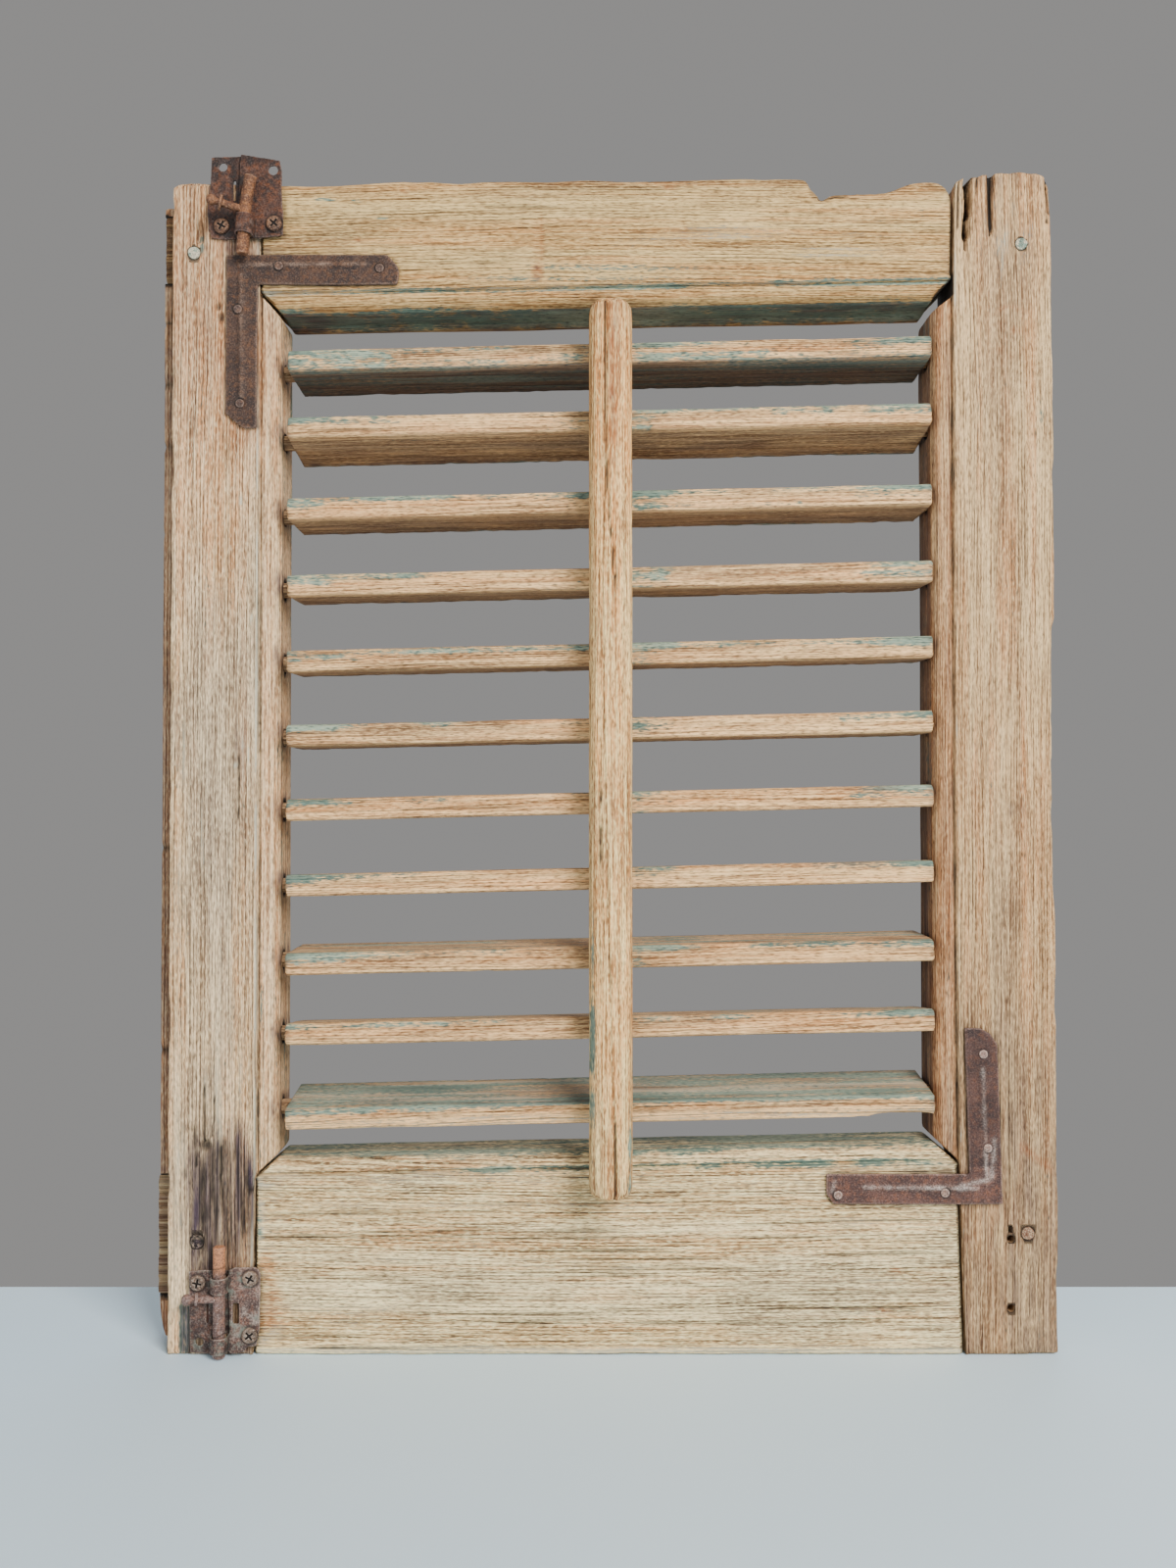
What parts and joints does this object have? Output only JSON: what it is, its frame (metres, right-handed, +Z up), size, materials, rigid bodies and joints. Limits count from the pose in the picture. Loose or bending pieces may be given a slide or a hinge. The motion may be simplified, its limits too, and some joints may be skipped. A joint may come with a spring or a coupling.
{
  "type": "wooden louvre shutter",
  "caption": "Old wooden louvre shutter leaf with movable slats, a tilt rod, a rebated stile, rusty corner irons and slide bolts.",
  "frame": {"origin": "middle of the bottom edge of the frame, in the middle of its thickness", "axes": "+Z up, -Y out of the front face with the tilt rod, +X to the right seen from the front"},
  "size_m": [0.4084, 0.0582, 0.5401],
  "materials": {
    "frame_wood": "bare weathered softwood with old paint remains",
    "slat_wood": "bare weathered softwood with green paint on the edges",
    "rod_wood": "bare weathered softwood, worn smooth",
    "peg_wood": "end grain with paint remains",
    "staple_wire": "rusty wire",
    "corner_iron": "dark brown rust",
    "nail_iron": "brown rust",
    "bolt_plate": "brown pitted rust",
    "bolt_rod": "orange-brown rust",
    "screw_steel": "tarnished and rusty"
  },
  "bodies": {
    "frame": {"stile_left": "frame_wood", "stile_right": "frame_wood", "rail_top": "frame_wood", "rail_bottom": "frame_wood", "joint_pegs": "peg_wood", "corner_iron_top": "corner_iron", "corner_iron_bottom": "corner_iron", "corner_nails_top": "nail_iron", "corner_nails_bottom": "nail_iron", "bolt_plate_top": "bolt_plate", "bolt_screws_top": "screw_steel", "bolt_plate_bottom": "bolt_plate", "bolt_screws_bottom": "screw_steel"},
    "slat_01": {"slat_01": "slat_wood", "slat_staple_01": "staple_wire"},
    "slat_02": {"slat_02": "slat_wood", "slat_staple_02": "staple_wire"},
    "slat_03": {"slat_03": "slat_wood", "slat_staple_03": "staple_wire"},
    "slat_04": {"slat_04": "slat_wood", "slat_staple_04": "staple_wire"},
    "slat_05": {"slat_05": "slat_wood", "slat_staple_05": "staple_wire"},
    "slat_06": {"slat_06": "slat_wood", "slat_staple_06": "staple_wire"},
    "slat_07": {"slat_07": "slat_wood", "slat_staple_07": "staple_wire"},
    "slat_08": {"slat_08": "slat_wood", "slat_staple_08": "staple_wire"},
    "slat_09": {"slat_09": "slat_wood", "slat_staple_09": "staple_wire"},
    "slat_10": {"slat_10": "slat_wood", "slat_staple_10": "staple_wire"},
    "slat_11": {"slat_11": "slat_wood", "slat_staple_11": "staple_wire"},
    "tilt_rod": {"tilt_rod": "rod_wood", "rod_staples": "staple_wire"},
    "bolt_top": {"bolt_rod_top": "bolt_rod", "bolt_knob_top": "bolt_rod"},
    "bolt_bottom": {"bolt_rod_bottom": "bolt_rod", "bolt_knob_bottom": "bolt_rod"}
  },
  "joints": [
    {"name": "slat_01_tilt", "type": "hinge", "parent": "frame", "child": "slat_01", "pos_m": [0.0031, 0, 0.4487], "axis": [-0.9997, 0, -0.0227], "range_deg": [-48, 55]},
    {"name": "slat_02_tilt", "type": "hinge", "parent": "frame", "child": "slat_02", "pos_m": [0.0031, 0, 0.4166], "axis": [-0.9997, 0, -0.0227], "range_deg": [-48, 55]},
    {"name": "slat_03_tilt", "type": "hinge", "parent": "frame", "child": "slat_03", "pos_m": [0.0031, 0, 0.3822], "axis": [-0.9997, 0, -0.0227], "range_deg": [-48, 55]},
    {"name": "slat_04_tilt", "type": "hinge", "parent": "frame", "child": "slat_04", "pos_m": [0.0031, 0, 0.3483], "axis": [-0.9997, 0, -0.0227], "range_deg": [-48, 55]},
    {"name": "slat_05_tilt", "type": "hinge", "parent": "frame", "child": "slat_05", "pos_m": [0.0031, 0, 0.3142], "axis": [-0.9997, 0, -0.0227], "range_deg": [-48, 55]},
    {"name": "slat_06_tilt", "type": "hinge", "parent": "frame", "child": "slat_06", "pos_m": [0.0031, 0, 0.2802], "axis": [-0.9997, 0, -0.0227], "range_deg": [-48, 55]},
    {"name": "slat_07_tilt", "type": "hinge", "parent": "frame", "child": "slat_07", "pos_m": [0.0031, 0, 0.2469], "axis": [-0.9997, 0, -0.0227], "range_deg": [-48, 55]},
    {"name": "slat_08_tilt", "type": "hinge", "parent": "frame", "child": "slat_08", "pos_m": [0.0031, 0, 0.2123], "axis": [-0.9997, 0, -0.0227], "range_deg": [-48, 55]},
    {"name": "slat_09_tilt", "type": "hinge", "parent": "frame", "child": "slat_09", "pos_m": [0.0031, 0, 0.1782], "axis": [-0.9997, 0, -0.0227], "range_deg": [-48, 55]},
    {"name": "slat_10_tilt", "type": "hinge", "parent": "frame", "child": "slat_10", "pos_m": [0.0031, 0, 0.1447], "axis": [-0.9997, 0, -0.0227], "range_deg": [-48, 55]},
    {"name": "slat_11_tilt", "type": "hinge", "parent": "frame", "child": "slat_11", "pos_m": [0.0031, 0, 0.111], "axis": [-0.9997, 0, -0.0227], "range_deg": [-48, 55]},
    {"name": "tilt_rod_link", "type": "hinge", "parent": "slat_06", "child": "tilt_rod", "pos_m": [0.0031, -0.0245, 0.2802], "axis": [-0.9997, 0, -0.0227], "range_deg": [-55, 48]},
    {"name": "bolt_top_slide", "type": "slide", "parent": "frame", "child": "bolt_top", "axis": [0.0558, 0, 0.9984], "range_m": [0, 0.011]},
    {"name": "bolt_bottom_slide", "type": "slide", "parent": "frame", "child": "bolt_bottom", "axis": [0, 0, 1], "range_m": [-0.0142, 0]}
  ],
  "couplings": [
    {"joint": "slat_01_tilt", "follows": "slat_06_tilt", "ratio": 1},
    {"joint": "slat_02_tilt", "follows": "slat_06_tilt", "ratio": 1},
    {"joint": "slat_03_tilt", "follows": "slat_06_tilt", "ratio": 1},
    {"joint": "slat_04_tilt", "follows": "slat_06_tilt", "ratio": 1},
    {"joint": "slat_05_tilt", "follows": "slat_06_tilt", "ratio": 1},
    {"joint": "slat_07_tilt", "follows": "slat_06_tilt", "ratio": 1},
    {"joint": "slat_08_tilt", "follows": "slat_06_tilt", "ratio": 1},
    {"joint": "slat_09_tilt", "follows": "slat_06_tilt", "ratio": 1},
    {"joint": "slat_10_tilt", "follows": "slat_06_tilt", "ratio": 1},
    {"joint": "slat_11_tilt", "follows": "slat_06_tilt", "ratio": 1},
    {"joint": "tilt_rod_link", "follows": "slat_06_tilt", "ratio": -1}
  ]
}
